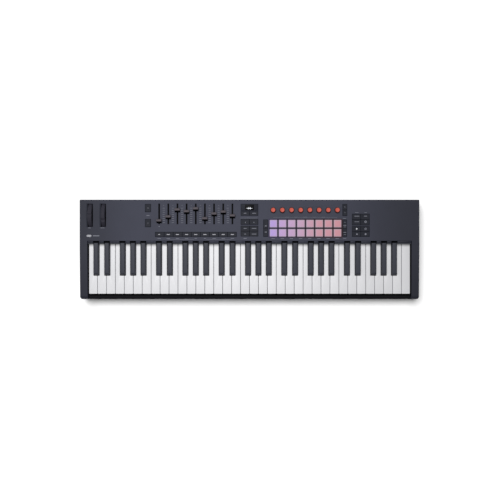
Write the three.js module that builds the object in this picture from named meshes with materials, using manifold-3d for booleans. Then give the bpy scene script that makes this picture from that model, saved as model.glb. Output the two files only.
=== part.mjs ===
// A 61-key keyboard synthesizer: five octaves of sprung keys in front of a control panel with
// pitch and modulation wheels, sliding faders, rotary knobs, trigger pads and push buttons.
// Units are millimetres. X runs to the player's right, Y away from the player, Z up.
// The origin is on the table, under the middle of the instrument.

import * as THREE from 'three';
import { mergeVertices } from 'three/addons/utils/BufferGeometryUtils.js';
import Module from 'manifold-3d';

const wasm = await Module();
wasm.setup();

// ---------- Driving dimensions ----------

// Case
const halfWidth = 445.8;
const halfDepth = 131;
const wall = 2.5;
const footHeight = 3.5;
const splitZ = 24; // the bottom tray meets the top case here
const panelZ = 64; // top of the control panel
const panelFrontY = 22.7;
const cheekInnerX = 426; // inner faces of the two key cheeks
const cheekFrontZ = 58;
const cheekFallY = 2.7; // the cheeks fall away in front of this line
const noseRadius = 10; // rounded front of the cheeks
const noseSweep = 0.56 * Math.PI;
const backBevel = 2.5;
const frontCornerRadius = 6.6;
const backCornerRadius = 2;
const trayChamfer = 8;
const railZ = 44; // low rail in front of the keys
const railDepth = 10;
const restGap = 0.3; // between pieces that rest on each other
const slideGap = 0.4; // round every cap that moves in the panel

const ribsY = [-104, -20, 40];
const ribHeight = 2.7;
const screwXs = [-400, -200, 0, 200, 400];
const screwYs = [-96, 84];
const screwWell = { radius: 4, depth: 1.5 };
const foot = { halfLength: 380, halfWidth: 7, frontY: -111, rearY: 107 };
const bossSpots = [
  [-286, 52], [-286, 121.5], [-31, 122], [31, 122], [262.6, 60], [323, 60], [323, 121.5],
];
const bossRadius = 3;

// Keyboard
const octaveWidth = 165;
const whitesPerOctave = 7;
const whitePitch = octaveWidth / whitesPerOctave;
const whiteCount = 36;
const keyGap = 1;
const keyTopZ = 54;
const keyUnderZ = 42;
const keyLipZ = 36;
const keyLipDepth = 4;
const whiteFrontY = -116.6;
const blackFrontY = -67.4;
const blackRearY = 17.5;
const blackTopZ = 65;
const blackBaseWidth = 13.8;
const blackTopWidth = 11.4;
const blackSlot = 15.8; // clear width between the tails of two white keys
const hingeY = 46;
const hingeZ = 43;
const hingeBeadRadius = 1.5;
const hingeNotchRadius = 2.2;
const tailFrontY = 20; // a key's tail reaches forward to here under its top
const keyRearY = 27.2; // and its top ends here, under the panel
const tailUnderZ = 38;
const tailTopZ = 48;
const tailRearY = 51;
const plungerTipZ = 30.6;
const plungerY = [-12, -8];
const plungerHalf = 2;
const notchGap = 1.5; // between a black key's front and the white keys round it
const blackFrontSlope = 6;
const whiteSpine = { y: [39, 43], z: [33.5, 37.2] };
const blackSpine = { y: [40, 45], z: [48.8, 50.8] };

// Keybed: a folded sheet with the key stop in front, posts for the contact board and the hinge rail
const keybed = { halfLength: 423, frontY: -110.5, rearY: 47, floorZ: [9, 11], sheet: 2 };
const stopFlange = { rearY: -98, z: [29.5, 31] };
const boardPost = { xs: [-400, -200, 0, 200, 400], ys: [-24, 14], half: [4, 3], topZ: 17.7 };
const contactPlate = { x: [-420, 420], y: [-30, 20], z: [18, 19.6] };
const domeStrip = { x: [-418, 418], y: [-14, -6], z: [19, 26] };

// Controls, in rows and columns on the panel
const controlPitch = 24.03;
const capTopZ = 65;
const matUnderZ = 57;
const matThickness = 1.2;
const boardZ = 52;
const boardThickness = 1.6;
const boardPlan = { x: [-292, 329], y: [30.2, 126.4] };
const slider = { half: 4.5, y: [62, 125], topZ: 60.5, slotHalf: 1.7, slotY: [66, 121], slotZ: 56.6 };
const encoder = { half: 6, topZ: 60 };
const displayBody = { half: 17, underZ: 54.5 };

const faderFirstX = -237.1;
const faderSlot = { y: [66.6, 120.4], width: 3.2 };
const faderRestY = [74.8, 85.1, 103.3, 98.8, 106.2, 80.3, 92.7, 97.7, 87.7];
const faderCap = { width: 13.6, depth: 10.4, underZ: 67, topZ: 76 };
const faderLever = { half: [1, 2], underZ: 57.3 };

const knobFirstX = 61.9;
const knobY = 103.4;
const knobCount = 8;
const knob = { underZ: 65, topZ: 77.5, baseRadius: 7.6, topRadius: 6.4, shaftRadius: 3, tipZ: 56 };

const padFirstX = 62.7;
const padRowsY = [43.7, 67.9];
const padSize = 20;
const padTopZ = 67;
const padWeb = 1.5;
const matMargin = [0.6, 1];

const wheel = { y: 89.85, z: 42.4, radius: 36, width: 12.5, bore: 2.4, slot: [15.6, 60.7], flat: -8.5 };
const wheelShoulder = { inset: [0.8, 2.6], width: 1.8 };
const wheelNotch = { radius: 7, depth: 2.2 };
const pitchWheelX = -420;
const modWheelX = -385.6;
const modWheelLean = 25; // degrees from its middle when at rest
const modNotchAngle = 3.5;
const bracket = { cheekXs: [-430, -403, -374], sheet: 2, halfDepth: 14, z: [6.3, 55], axleRadius: 1.9 };

const displayWindow = { x: [-22.8, 22.8], y: [101.8, 119.6] };

// Each button mat: its windows in the panel, and how many caps share each window
const buttonMats = {
  octave_buttons: [
    { x: [-274.2, -258.8], y: [98.3, 119.3], columns: 1, rows: 1 },
    { x: [-274.2, -258.8], y: [58.9, 79.9], columns: 1, rows: 1 },
  ],
  fader_buttons: [{ x: [-247.9, -33.8], y: [33.2, 46], columns: 9, rows: 1 }],
  display_buttons: [{ x: [-22.8, 22.8], y: [89, 100.6], columns: 2, rows: 1 }],
  centre_buttons: [
    { x: [-22.8, 22.8], y: [65.3, 80.1], columns: 2, rows: 1 },
    { x: [-22.8, 22.8], y: [34.4, 62.1], columns: 2, rows: 2 },
  ],
  pad_left_buttons: [{ x: [36.3, 48.4], y: [33.6, 78.5], columns: 1, rows: 2 }],
  pad_right_buttons: [{ x: [244.2, 255.8], y: [33.6, 78.5], columns: 1, rows: 2 }],
  page_buttons: [{ x: [244.2, 256.3], y: [88.3, 119.2], columns: 1, rows: 2 }],
  transport_buttons: [
    { x: [269.2, 315.1], y: [63.8, 93.5], columns: 2, rows: 2 },
    { x: [269.2, 315.1], y: [33.7, 61.2], columns: 2, rows: 2 },
  ],
};

// Rear sockets, all hung from the back edge of the control board
const usb = { x: -270, width: 9, height: 3.2, depth: 7.4 };
const midi = { x: -200, radius: 7.5, z: 41.9, body: [19, 14, 19.6] };
const lockSlot = { x: -300, z: 44, half: [3.5, 1.5] };
const pedal = { x: -235, bore: 3.25, bushRadius: 4.7, z: 45.9, body: [15, 27, 11.6], depth: 28 };

// ---------- Solids ----------

function solidOf(geometry) {
  const bare = geometry.index ? geometry.toNonIndexed() : geometry.clone();
  bare.deleteAttribute('normal');
  bare.deleteAttribute('uv');
  const merged = mergeVertices(bare, 1e-4);
  const corners = merged.index.array;
  const kept = [];
  for (let i = 0; i < corners.length; i += 3) {
    const [a, b, c] = corners.slice(i, i + 3);
    if (a !== b && b !== c && c !== a) kept.push(a, b, c); // a lathe's pole gives empty triangles
  }
  const vertProperties = new Float32Array(merged.attributes.position.array);
  return new wasm.Manifold(
    new wasm.Mesh({ numProp: 3, vertProperties, triVerts: new Uint32Array(kept) }),
  );
}

function joined(solids) {
  return solids.reduce((whole, next) => whole.add(next));
}

function without(solid, cutters) {
  return cutters.reduce((whole, cutter) => whole.subtract(cutter), solid);
}

function blockGeometry([x0, x1], [y0, y1], [z0, z1]) {
  const geometry = new THREE.BoxGeometry(x1 - x0, y1 - y0, z1 - z0);
  return geometry.translate((x0 + x1) / 2, (y0 + y1) / 2, (z0 + z1) / 2);
}

function block(x, y, z) {
  return solidOf(blockGeometry(x, y, z));
}

function shapeOf(points) {
  return new THREE.Shape(points.map(([u, v]) => new THREE.Vector2(u, v)));
}

// A shape drawn in Y and Z, carried along X from x0 to x1
function barAlongX(shape, x0, x1) {
  const settings = { depth: x1 - x0, bevelEnabled: false, curveSegments: 8 };
  const geometry = new THREE.ExtrudeGeometry(shape, settings);
  const turn = new THREE.Matrix4().makeBasis(
    new THREE.Vector3(0, 1, 0),
    new THREE.Vector3(0, 0, 1),
    new THREE.Vector3(1, 0, 0),
  );
  return solidOf(geometry.applyMatrix4(turn).translate(x0, 0, 0));
}

// An outline in the XY plane raised from z0 to z1
function plate(shape, z0, z1) {
  const settings = { depth: z1 - z0, bevelEnabled: false, curveSegments: 6 };
  const geometry = new THREE.ExtrudeGeometry(shape, settings);
  return solidOf(geometry.translate(0, 0, z0));
}

// A rod along one axis, its middle at x, y, z
function rodAt(radius, length, sides, axis, x, y, z) {
  const geometry = new THREE.CylinderGeometry(radius, radius, length, sides);
  if (axis === 'x') geometry.rotateZ(Math.PI / 2);
  if (axis === 'z') geometry.rotateX(Math.PI / 2);
  return solidOf(geometry.translate(x, y, z));
}

function part(name, solid, finish, position = [0, 0, 0]) {
  const { vertProperties, triVerts } = solid.getMesh();
  const geometry = new THREE.BufferGeometry();
  geometry.setAttribute('position', new THREE.BufferAttribute(new Float32Array(vertProperties), 3));
  geometry.setIndex(new THREE.BufferAttribute(new Uint32Array(triVerts), 1));
  const mesh = new THREE.Mesh(geometry, finish());
  mesh.name = name;
  mesh.position.set(...position);
  return mesh;
}

// ---------- Finishes ----------

const finishOf = (color, roughness, metalness) => () =>
  new THREE.MeshStandardMaterial({ color, roughness, metalness });
const casePlastic = finishOf(0x44454f, 0.55, 0);
const trayPlastic = finishOf(0x1b1c20, 0.65, 0);
const keyWhite = finishOf(0xf0f0ee, 0.3, 0);
const keyBlack = finishOf(0x3c3e45, 0.45, 0);
const darkRubber = finishOf(0x202126, 0.8, 0);
const capPlastic = finishOf(0x2c2e37, 0.4, 0);
const faderPlastic = finishOf(0x4a4b52, 0.5, 0);
const knobRed = finishOf(0xdb5a4c, 0.5, 0);
const padSilicone = finishOf(0xc9a2cc, 0.6, 0);
const boardGreen = finishOf(0x1e4a30, 0.5, 0.1);
const lensBlack = finishOf(0x0a0a0c, 0.1, 0);
const steel = finishOf(0x9a9ca0, 0.4, 0.9);

// ---------- Case ----------

// The plan outline of the case, drawn in by inset all round
function casePlan(inset) {
  const x = halfWidth - inset;
  const y = halfDepth - inset;
  const front = Math.max(frontCornerRadius - inset, 1);
  const back = Math.max(backCornerRadius - inset, 0.5);
  const shape = new THREE.Shape();
  shape.absarc(-x + front, -y + front, front, Math.PI, 1.5 * Math.PI);
  shape.absarc(x - front, -y + front, front, 1.5 * Math.PI, 2 * Math.PI);
  shape.absarc(x - back, y - back, back, 0, 0.5 * Math.PI);
  shape.absarc(-x + back, y - back, back, 0.5 * Math.PI, Math.PI);
  return shape;
}

// The side outline of the top case in [y, z]: flat panel, cheeks that fall to a rounded nose
function topCaseSide(inset) {
  const y = halfDepth - inset;
  const top = panelZ - inset;
  const nose = noseRadius - inset;
  const shape = new THREE.Shape();
  shape.moveTo(-y, splitZ - 1);
  shape.lineTo(-y, cheekFrontZ - noseRadius);
  shape.absarc(-y + nose, cheekFrontZ - noseRadius, nose, Math.PI, noseSweep, true);
  shape.lineTo(cheekFallY, top);
  shape.lineTo(y - backBevel, top);
  shape.lineTo(y, top - backBevel);
  shape.lineTo(y, splitZ - 1);
  return shape;
}

function windowCut({ x, y }) {
  return block(x, y, [panelZ - 10, panelZ + 10]);
}

function padWindows() {
  const half = padSize / 2 + slideGap;
  const cuts = [];
  for (let column = 0; column < knobCount; column += 1) {
    for (const y of padRowsY) {
      const x = padFirstX + column * controlPitch;
      cuts.push(windowCut({ x: [x - half, x + half], y: [y - half, y + half] }));
    }
  }
  return cuts;
}

function faderSlots() {
  return faderRestY.map((_, i) => {
    const x = faderFirstX + i * controlPitch;
    return windowCut({ x: [x - faderSlot.width / 2, x + faderSlot.width / 2], y: faderSlot.y });
  });
}

function knobHoles() {
  const cuts = [];
  for (let i = 0; i < knobCount; i += 1) {
    cuts.push(rodAt(knob.shaftRadius + 1, 20, 12, 'z', knobFirstX + i * controlPitch, knobY, panelZ));
  }
  return cuts;
}

function wheelSlots() {
  const [width, length] = wheel.slot;
  return [pitchWheelX, modWheelX].map((x) =>
    windowCut({
      x: [x - width / 2, x + width / 2],
      y: [wheel.y - length / 2, wheel.y + length / 2],
    }),
  );
}

function rearHoles() {
  const y = halfDepth - wall / 2;
  const through = wall + 2;
  const usbX = [usb.x - usb.width / 2 - 0.5, usb.x + usb.width / 2 + 0.5];
  return [
    block(usbX, [y - through, y + through], [boardZ - usb.height - 1, boardZ + 0.2]),
    rodAt(midi.radius + slideGap, 2 * through, 20, 'y', midi.x, y, midi.z),
    rodAt(pedal.bushRadius + slideGap, 2 * through, 16, 'y', pedal.x, y, pedal.z),
    block(
      [lockSlot.x - lockSlot.half[0], lockSlot.x + lockSlot.half[0]],
      [y - through, y + through],
      [lockSlot.z - lockSlot.half[1], lockSlot.z + lockSlot.half[1]],
    ),
  ];
}

function topCase() {
  const outer = barAlongX(topCaseSide(0), -halfWidth, halfWidth)
    .intersect(plate(casePlan(0), splitZ, panelZ + 1));
  const inner = barAlongX(topCaseSide(wall), -halfWidth, halfWidth)
    .intersect(plate(casePlan(wall), splitZ - 2, panelZ));
  const keyWell = block([-cheekInnerX, cheekInnerX], [-halfDepth - 1, panelFrontY], [0, panelZ + 9]);
  const wellFrame = block(
    [-cheekInnerX - wall, cheekInnerX + wall],
    [-halfDepth + 1, panelFrontY + wall],
    [splitZ, cheekFrontZ - 1],
  ).intersect(outer);
  const underLip = block(
    [-cheekInnerX, cheekInnerX],
    [panelFrontY - 1, panelFrontY + wall + 1],
    [0, keyTopZ + 2.5],
  );
  const frontLip = block(
    [-cheekInnerX, cheekInnerX],
    [panelFrontY - 1, panelFrontY + wall],
    [keyTopZ + 2.5, panelZ - 1],
  );
  const bosses = bossSpots.map(([x, y]) => {
    const z = [boardZ + boardThickness + restGap, panelZ - 1];
    return rodAt(bossRadius, z[1] - z[0], 10, 'z', x, y, (z[0] + z[1]) / 2);
  });
  const shell = joined([without(outer, [inner]), wellFrame, frontLip, ...bosses]);
  return without(shell, [
    keyWell,
    underLip,
    ...Object.values(buttonMats).flat().map(windowCut),
    windowCut(displayWindow),
    ...padWindows(),
    ...faderSlots(),
    ...knobHoles(),
    ...wheelSlots(),
    ...rearHoles(),
  ]);
}

function bottomCase() {
  const trayTop = splitZ - restGap;
  const section = (inset) => {
    const y = halfDepth - inset;
    const z = footHeight + inset;
    return [
      [-y, splitZ + 1],
      [-y, z + trayChamfer],
      [-y + trayChamfer, z],
      [y - trayChamfer, z],
      [y, z + trayChamfer],
      [y, splitZ + 1],
    ];
  };
  const hull = (inset, top) => barAlongX(shapeOf(section(inset)), -halfWidth + inset, halfWidth - inset)
    .intersect(plate(casePlan(inset), 0, top));
  const tray = without(hull(0, trayTop), [hull(wall, splitZ + 1)]);
  const railX = cheekInnerX - slideGap;
  const rail = without(
    block([-railX, railX], [-halfDepth, -halfDepth + railDepth], [trayTop - 1, railZ]),
    [block([-railX - 1, railX + 1], [-halfDepth + wall, -halfDepth + railDepth - wall], [0, railZ - wall])],
  );
  const railFoot = block([-railX, railX], [-halfDepth, -halfDepth + wall], [splitZ - 6, railZ - 1]);
  const innerLip = block(
    [-railX - 1, railX + 1],
    [-halfDepth + wall + 0.5, -halfDepth + railDepth + 1],
    [0, railZ - 8],
  );
  const floor = footHeight + wall;
  const ribs = ribsY.map((y) => block([-400, 400], [y - 2, y + 2], [floor - 0.5, floor + ribHeight]));
  const screwWells = screwXs.flatMap((x) =>
    screwYs.map((y) => rodAt(screwWell.radius, 2 * screwWell.depth, 8, 'z', x, y, footHeight)),
  );
  return without(joined([tray, without(rail, [innerLip]), railFoot, ...ribs]), screwWells);
}

function footStrip() {
  const { halfLength, halfWidth: half } = foot;
  return block([-halfLength, halfLength], [-half, half], [0, footHeight - restGap]);
}

// ---------- Keyboard ----------

// The [y, z] outline of a key's rear end, from its underside round the hinge notch to its top
function tailOutline() {
  const shape = new THREE.Path();
  shape.moveTo(tailFrontY, tailUnderZ);
  shape.lineTo(hingeY - hingeNotchRadius, tailUnderZ);
  shape.lineTo(hingeY - hingeNotchRadius, hingeZ);
  shape.absarc(hingeY, hingeZ, hingeNotchRadius, Math.PI, 0, true);
  shape.lineTo(hingeY + hingeNotchRadius, tailUnderZ);
  shape.lineTo(tailRearY, tailUnderZ);
  shape.lineTo(tailRearY, tailTopZ);
  return shape.getPoints(2);
}

function whiteSide() {
  const lead = [
    [whiteFrontY, keyLipZ],
    [whiteFrontY + keyLipDepth, keyLipZ],
    [whiteFrontY + keyLipDepth, keyUnderZ],
    [tailFrontY, keyUnderZ],
  ];
  const top = [
    [keyRearY, tailTopZ],
    [keyRearY, keyTopZ],
    [whiteFrontY + 1.6, keyTopZ],
    [whiteFrontY, keyTopZ - 1.6],
  ];
  return [...lead, ...tailOutline().map((p) => [p.x, p.y]), ...top];
}

function blackSide() {
  const lead = [
    [blackFrontY, keyUnderZ],
    [tailFrontY, keyUnderZ],
  ];
  const top = [
    [keyRearY, tailTopZ],
    [keyRearY, keyTopZ - 1],
    [blackFrontY, keyTopZ - 1],
  ];
  return [...lead, ...tailOutline().map((p) => [p.x, p.y]), ...top];
}

// The tails of one run of white keys, C to E or F to B, share its width evenly
function runOf(index) {
  const step = index % whitesPerOctave;
  const octaveStart = index - step;
  const last = index === whiteCount - 1;
  if (last) return { first: index, count: 1 };
  return step < 3 ? { first: octaveStart, count: 3 } : { first: octaveStart + 3, count: 4 };
}

const keybedLeftX = (-whiteCount * whitePitch) / 2;

function tailSpan(index) {
  const { first, count } = runOf(index);
  const slots = (count - 1) * blackSlot;
  const tail = (count * whitePitch - keyGap - slots) / count;
  const left = keybedLeftX + first * whitePitch + keyGap / 2 + (index - first) * (tail + blackSlot);
  return [left, left + tail];
}

function plunger(x) {
  return block([x - plungerHalf, x + plungerHalf], plungerY, [plungerTipZ, keyUnderZ + 1]);
}

function whiteKey(index) {
  const left = keybedLeftX + index * whitePitch + keyGap / 2;
  const right = left + whitePitch - keyGap;
  const [tailLeft, tailRight] = tailSpan(index);
  const notchY = blackFrontY - notchGap;
  const plan = shapeOf([
    [left, whiteFrontY - 1],
    [right, whiteFrontY - 1],
    [right, notchY],
    [tailRight, notchY],
    [tailRight, tailRearY + 1],
    [tailLeft, tailRearY + 1],
    [tailLeft, notchY],
    [left, notchY],
  ]);
  const body = barAlongX(shapeOf(whiteSide()), left - 1, right + 1).intersect(plate(plan, 0, panelZ));
  return body.add(plunger((tailLeft + tailRight) / 2));
}

// The black key to the right of white key index
function blackCentre(index) {
  return (tailSpan(index)[1] + tailSpan(index + 1)[0]) / 2;
}

function blackKey(index) {
  const centre = blackCentre(index);
  const half = blackBaseWidth / 2;
  const cap = blockGeometry([-half, half], [blackFrontY, blackRearY], [keyTopZ - 2, blackTopZ]);
  const corners = cap.attributes.position;
  for (let i = 0; i < corners.count; i += 1) {
    if (corners.getZ(i) < blackTopZ - 1) continue;
    corners.setX(i, corners.getX(i) * (blackTopWidth / blackBaseWidth));
    if (corners.getY(i) < 0) corners.setY(i, blackFrontY + blackFrontSlope);
  }
  const body = barAlongX(shapeOf(blackSide()), centre - half, centre + half);
  return joined([body, solidOf(cap.translate(centre, 0, 0)), plunger(centre)]);
}

const blackAfter = [0, 1, 3, 4, 5]; // black keys follow the 1st, 2nd, 4th, 5th and 6th white key
const noteNames = ['c', 'd', 'e', 'f', 'g', 'a', 'b'];

// Keys moulded on one rear spine; the white spine runs under the tails, the black one over them
function whiteComb(octave) {
  const last = octave === 4 ? whitesPerOctave + 1 : whitesPerOctave;
  const keys = [];
  for (let i = 0; i < last; i += 1) keys.push(octave * whitesPerOctave + i);
  const spineX = [tailSpan(keys[0])[0], tailSpan(keys[last - 1])[1]];
  const spine = block(spineX, whiteSpine.y, whiteSpine.z);
  const legs = keys.map((index) =>
    block(tailSpan(index), whiteSpine.y, [whiteSpine.z[0], tailUnderZ + 1]),
  );
  return joined([...keys.map(whiteKey), spine, ...legs]);
}

function blackComb(octave) {
  const half = blackBaseWidth / 2;
  const keys = blackAfter.map((step) => octave * whitesPerOctave + step);
  const spineX = [blackCentre(keys[0]) - half, blackCentre(keys[4]) + half];
  const spine = block(spineX, blackSpine.y, blackSpine.z);
  const legs = keys.map((index) => {
    const centre = blackCentre(index);
    return block([centre - half, centre + half], blackSpine.y, [tailTopZ - 1, blackSpine.z[1]]);
  });
  return joined([...keys.map(blackKey), spine, ...legs]);
}

function keybedFrame() {
  const { halfLength, frontY, rearY, floorZ, sheet } = keybed;
  const x = [-halfLength, halfLength];
  const posts = boardPost.xs.flatMap((px) =>
    boardPost.ys.map((py) =>
      block(
        [px - boardPost.half[0], px + boardPost.half[0]],
        [py - boardPost.half[1], py + boardPost.half[1]],
        [floorZ[0], boardPost.topZ],
      ),
    ),
  );
  return joined([
    block(x, [frontY, rearY], floorZ),
    block(x, [frontY, frontY + sheet], [floorZ[0], stopFlange.z[1]]),
    block(x, [frontY, stopFlange.rearY], stopFlange.z),
    block(x, [rearY - sheet, rearY], [floorZ[0], hingeZ]),
    rodAt(hingeBeadRadius, 2 * halfLength, 12, 'x', 0, hingeY, hingeZ),
    ...posts,
  ]);
}

function contactBoard() {
  const sheet = block(contactPlate.x, contactPlate.y, contactPlate.z);
  return sheet.add(block(domeStrip.x, domeStrip.y, domeStrip.z));
}

// ---------- Wheels ----------

// A wheel about the X axis with a flat at its hidden side and a finger notch in its rim.
// lean, in degrees, turns the whole wheel to where it rests; notchAngle places the notch on it.
function controlWheel(lean, notchAngle) {
  const half = wheel.width / 2;
  const rim = wheel.radius;
  const profile = [
    [wheel.bore, -half],
    [rim - wheelShoulder.inset[1], -half],
    [rim - wheelShoulder.inset[0], -half + wheelShoulder.width],
    [rim, 0],
    [rim - wheelShoulder.inset[0], half - wheelShoulder.width],
    [rim - wheelShoulder.inset[1], half],
    [wheel.bore, half],
    [wheel.bore, -half],
  ].map(([r, x]) => new THREE.Vector2(r, x));
  const turned = new THREE.LatheGeometry(profile, 36).rotateZ(-Math.PI / 2);
  const flat = block([-half - 1, half + 1], [-rim - 1, rim + 1], [-rim - 1, wheel.flat]);
  const reach = rim + wheelNotch.radius - wheelNotch.depth;
  const notch = rodAt(
    wheelNotch.radius,
    wheel.width + 2,
    16,
    'x',
    0,
    Math.sin(notchAngle) * reach,
    Math.cos(notchAngle) * reach,
  );
  const solid = without(solidOf(turned), [flat, notch]);
  return solid.rotate([lean, 0, 0]);
}

function wheelBracket() {
  const { cheekXs, sheet, halfDepth: reach, z, axleRadius } = bracket;
  const y = [wheel.y - reach, wheel.y + reach];
  const [firstX, , lastX] = cheekXs;
  const cheeks = cheekXs.map((x) => block([x - sheet / 2, x + sheet / 2], y, z));
  const base = block([firstX - sheet / 2, lastX + sheet / 2], y, [z[0], z[0] + sheet]);
  const length = lastX - firstX + sheet / 2;
  const axle = rodAt(axleRadius, length, 12, 'x', (firstX + lastX) / 2, wheel.y, wheel.z);
  return joined([...cheeks, base, axle]);
}

// ---------- Panel controls ----------

function controlBoard() {
  const top = boardZ + boardThickness;
  const board = block(boardPlan.x, boardPlan.y, [boardZ, top]);
  const faderBodies = faderRestY.map((_, i) => {
    const x = faderFirstX + i * controlPitch;
    const body = block([x - slider.half, x + slider.half], slider.y, [top - 0.5, slider.topZ]);
    const slotX = [x - slider.slotHalf, x + slider.slotHalf];
    return without(body, [block(slotX, slider.slotY, [slider.slotZ, slider.topZ + 1])]);
  });
  const encoders = [];
  for (let i = 0; i < knobCount; i += 1) {
    const x = knobFirstX + i * controlPitch;
    const y = [knobY - encoder.half, knobY + encoder.half];
    const body = block([x - encoder.half, x + encoder.half], y, [top - 0.5, encoder.topZ]);
    const shaftZ = [knob.tipZ - 0.6, encoder.topZ + 1];
    const middle = (shaftZ[0] + shaftZ[1]) / 2;
    const bore = rodAt(knob.shaftRadius + 0.5, shaftZ[1] - shaftZ[0], 10, 'z', x, knobY, middle);
    encoders.push(without(body, [bore]));
  }
  return joined([board, ...faderBodies, ...encoders]);
}

// One fader cap with the flat lever that carries it, about the middle of its lever
function fader() {
  const { width, depth, underZ, topZ } = faderCap;
  const half = depth / 2;
  const outline = [
    [-half, underZ],
    [half, underZ],
    [half, underZ + 3],
    [half - 0.8, topZ],
    [0, topZ - 0.7],
    [-half + 0.8, topZ],
    [-half, underZ + 3],
  ];
  const { half: stem, underZ: tip } = faderLever;
  const lever = block([-stem[0], stem[0]], [-stem[1], stem[1]], [tip, underZ + 1]);
  return barAlongX(shapeOf(outline), -width / 2, width / 2).add(lever);
}

function knobCap() {
  const { underZ, topZ, baseRadius, topRadius, shaftRadius, tipZ } = knob;
  const profile = [
    [0, tipZ],
    [shaftRadius, tipZ],
    [shaftRadius, underZ],
    [baseRadius, underZ],
    [baseRadius, underZ + 1.6],
    [topRadius + 0.3, topZ - 1],
    [topRadius - 0.6, topZ],
    [0, topZ - 0.6],
  ].map(([r, z]) => new THREE.Vector2(r, z));
  return solidOf(new THREE.LatheGeometry(profile, 16).rotateX(Math.PI / 2));
}

function padMat() {
  const half = padSize / 2;
  const lastX = padFirstX + (knobCount - 1) * controlPitch;
  const web = block(
    [padFirstX - half - padWeb, lastX + half + padWeb],
    [padRowsY[0] - half - padWeb, padRowsY[1] + half + padWeb],
    [matUnderZ, matUnderZ + matThickness],
  );
  const pads = [];
  for (let column = 0; column < knobCount; column += 1) {
    for (const y of padRowsY) {
      const x = padFirstX + column * controlPitch;
      pads.push(block([x - half, x + half], [y - half, y + half], [matUnderZ, padTopZ]));
    }
  }
  return joined([web, ...pads]);
}

// The caps of one window share it evenly, with slideGap round the outside and between them
function capsIn({ x, y, columns, rows }) {
  const width = (x[1] - x[0] - slideGap) / columns;
  const depth = (y[1] - y[0] - slideGap) / rows;
  const caps = [];
  for (let column = 0; column < columns; column += 1) {
    for (let row = 0; row < rows; row += 1) {
      const left = x[0] + slideGap + column * width;
      const front = y[0] + slideGap + row * depth;
      caps.push({ x: [left, left + width - slideGap], y: [front, front + depth - slideGap] });
    }
  }
  return caps;
}

function buttonMat(windows) {
  const caps = windows.flatMap(capsIn).map(({ x, y }) => block(x, y, [matUnderZ, capTopZ]));
  const span = (axis, margin) => {
    const edges = windows.flatMap((w) => w[axis]);
    return [Math.min(...edges) - margin, Math.max(...edges) + margin];
  };
  const web = block(span('x', matMargin[0]), span('y', matMargin[1]), [
    matUnderZ,
    matUnderZ + matThickness,
  ]);
  return joined([web, ...caps]);
}

function displayModule() {
  const { x, y } = displayWindow;
  const lens = block(
    [x[0] + restGap, x[1] - restGap],
    [y[0] + restGap, y[1] - restGap],
    [panelZ - 4, panelZ - 0.2],
  );
  const bodyX = [-displayBody.half, displayBody.half];
  return lens.add(block(bodyX, [y[0] + 1, y[1] - 1], [displayBody.underZ, panelZ - 3]));
}

// ---------- Rear sockets ----------

function usbSocket() {
  const top = boardZ - restGap;
  const rear = halfDepth - 0.4;
  const shell = block(
    [usb.x - usb.width / 2, usb.x + usb.width / 2],
    [rear - usb.depth, rear],
    [top - usb.height, top],
  );
  const mouth = block(
    [usb.x - usb.width / 2 + 0.35, usb.x + usb.width / 2 - 0.35],
    [rear - usb.depth + 1, rear + 1],
    [top - usb.height + 0.35, top - 0.35],
  );
  const tongue = block(
    [usb.x - 3.3, usb.x + 3.3],
    [rear - usb.depth + 0.5, rear - 1],
    [top - usb.height / 2 - 0.35, top - usb.height / 2 + 0.35],
  );
  return without(shell, [mouth]).add(tongue);
}

function midiSocket() {
  const [width, depth, height] = midi.body;
  const top = boardZ - restGap;
  const rear = halfDepth - 0.2;
  const bodyRear = halfDepth - wall - 0.3;
  const body = block(
    [midi.x - width / 2, midi.x + width / 2],
    [bodyRear - depth, bodyRear],
    [top - height, top],
  );
  const collar = rodAt(midi.radius, 6, 20, 'y', midi.x, rear - 3, midi.z);
  const groove = without(rodAt(6.7, 16, 20, 'y', midi.x, rear, midi.z), [
    rodAt(5.8, 40, 20, 'y', midi.x, rear - 21, midi.z),
  ]);
  return without(body.add(collar), [groove]);
}

function pedalJack() {
  const [width, depth, height] = pedal.body;
  const top = boardZ - restGap;
  const bodyRear = halfDepth - wall - 0.3;
  const body = block(
    [pedal.x - width / 2, pedal.x + width / 2],
    [bodyRear - depth, bodyRear],
    [top - height, top],
  );
  const bush = rodAt(pedal.bushRadius, 6, 16, 'y', pedal.x, halfDepth - 3, pedal.z);
  const bore = rodAt(pedal.bore, 2 * pedal.depth, 16, 'y', pedal.x, halfDepth, pedal.z);
  return without(body.add(bush), [bore]);
}

// ---------- Assembly ----------

const group = new THREE.Group();

group.add(part('top_case', topCase(), casePlastic));
group.add(part('bottom_case', bottomCase(), trayPlastic));
group.add(part('foot_front', footStrip(), darkRubber, [0, foot.frontY, 0]));
group.add(part('foot_rear', footStrip(), darkRubber, [0, foot.rearY, 0]));
group.add(part('keybed_frame', keybedFrame(), steel));
group.add(part('contact_board', contactBoard(), boardGreen));
group.add(part('control_board', controlBoard(), boardGreen));
group.add(part('display_module', displayModule(), lensBlack));
group.add(part('wheel_bracket', wheelBracket(), steel));
group.add(part('usb_socket', usbSocket(), steel));
group.add(part('midi_socket', midiSocket(), trayPlastic));
group.add(part('pedal_jack', pedalJack(), trayPlastic));

const pitchWheel = controlWheel(0, 0);
const modWheel = controlWheel(modWheelLean, THREE.MathUtils.degToRad(modNotchAngle));
group.add(part('pitch_wheel', pitchWheel, darkRubber, [pitchWheelX, wheel.y, wheel.z]));
group.add(part('mod_wheel', modWheel, darkRubber, [modWheelX, wheel.y, wheel.z]));

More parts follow.
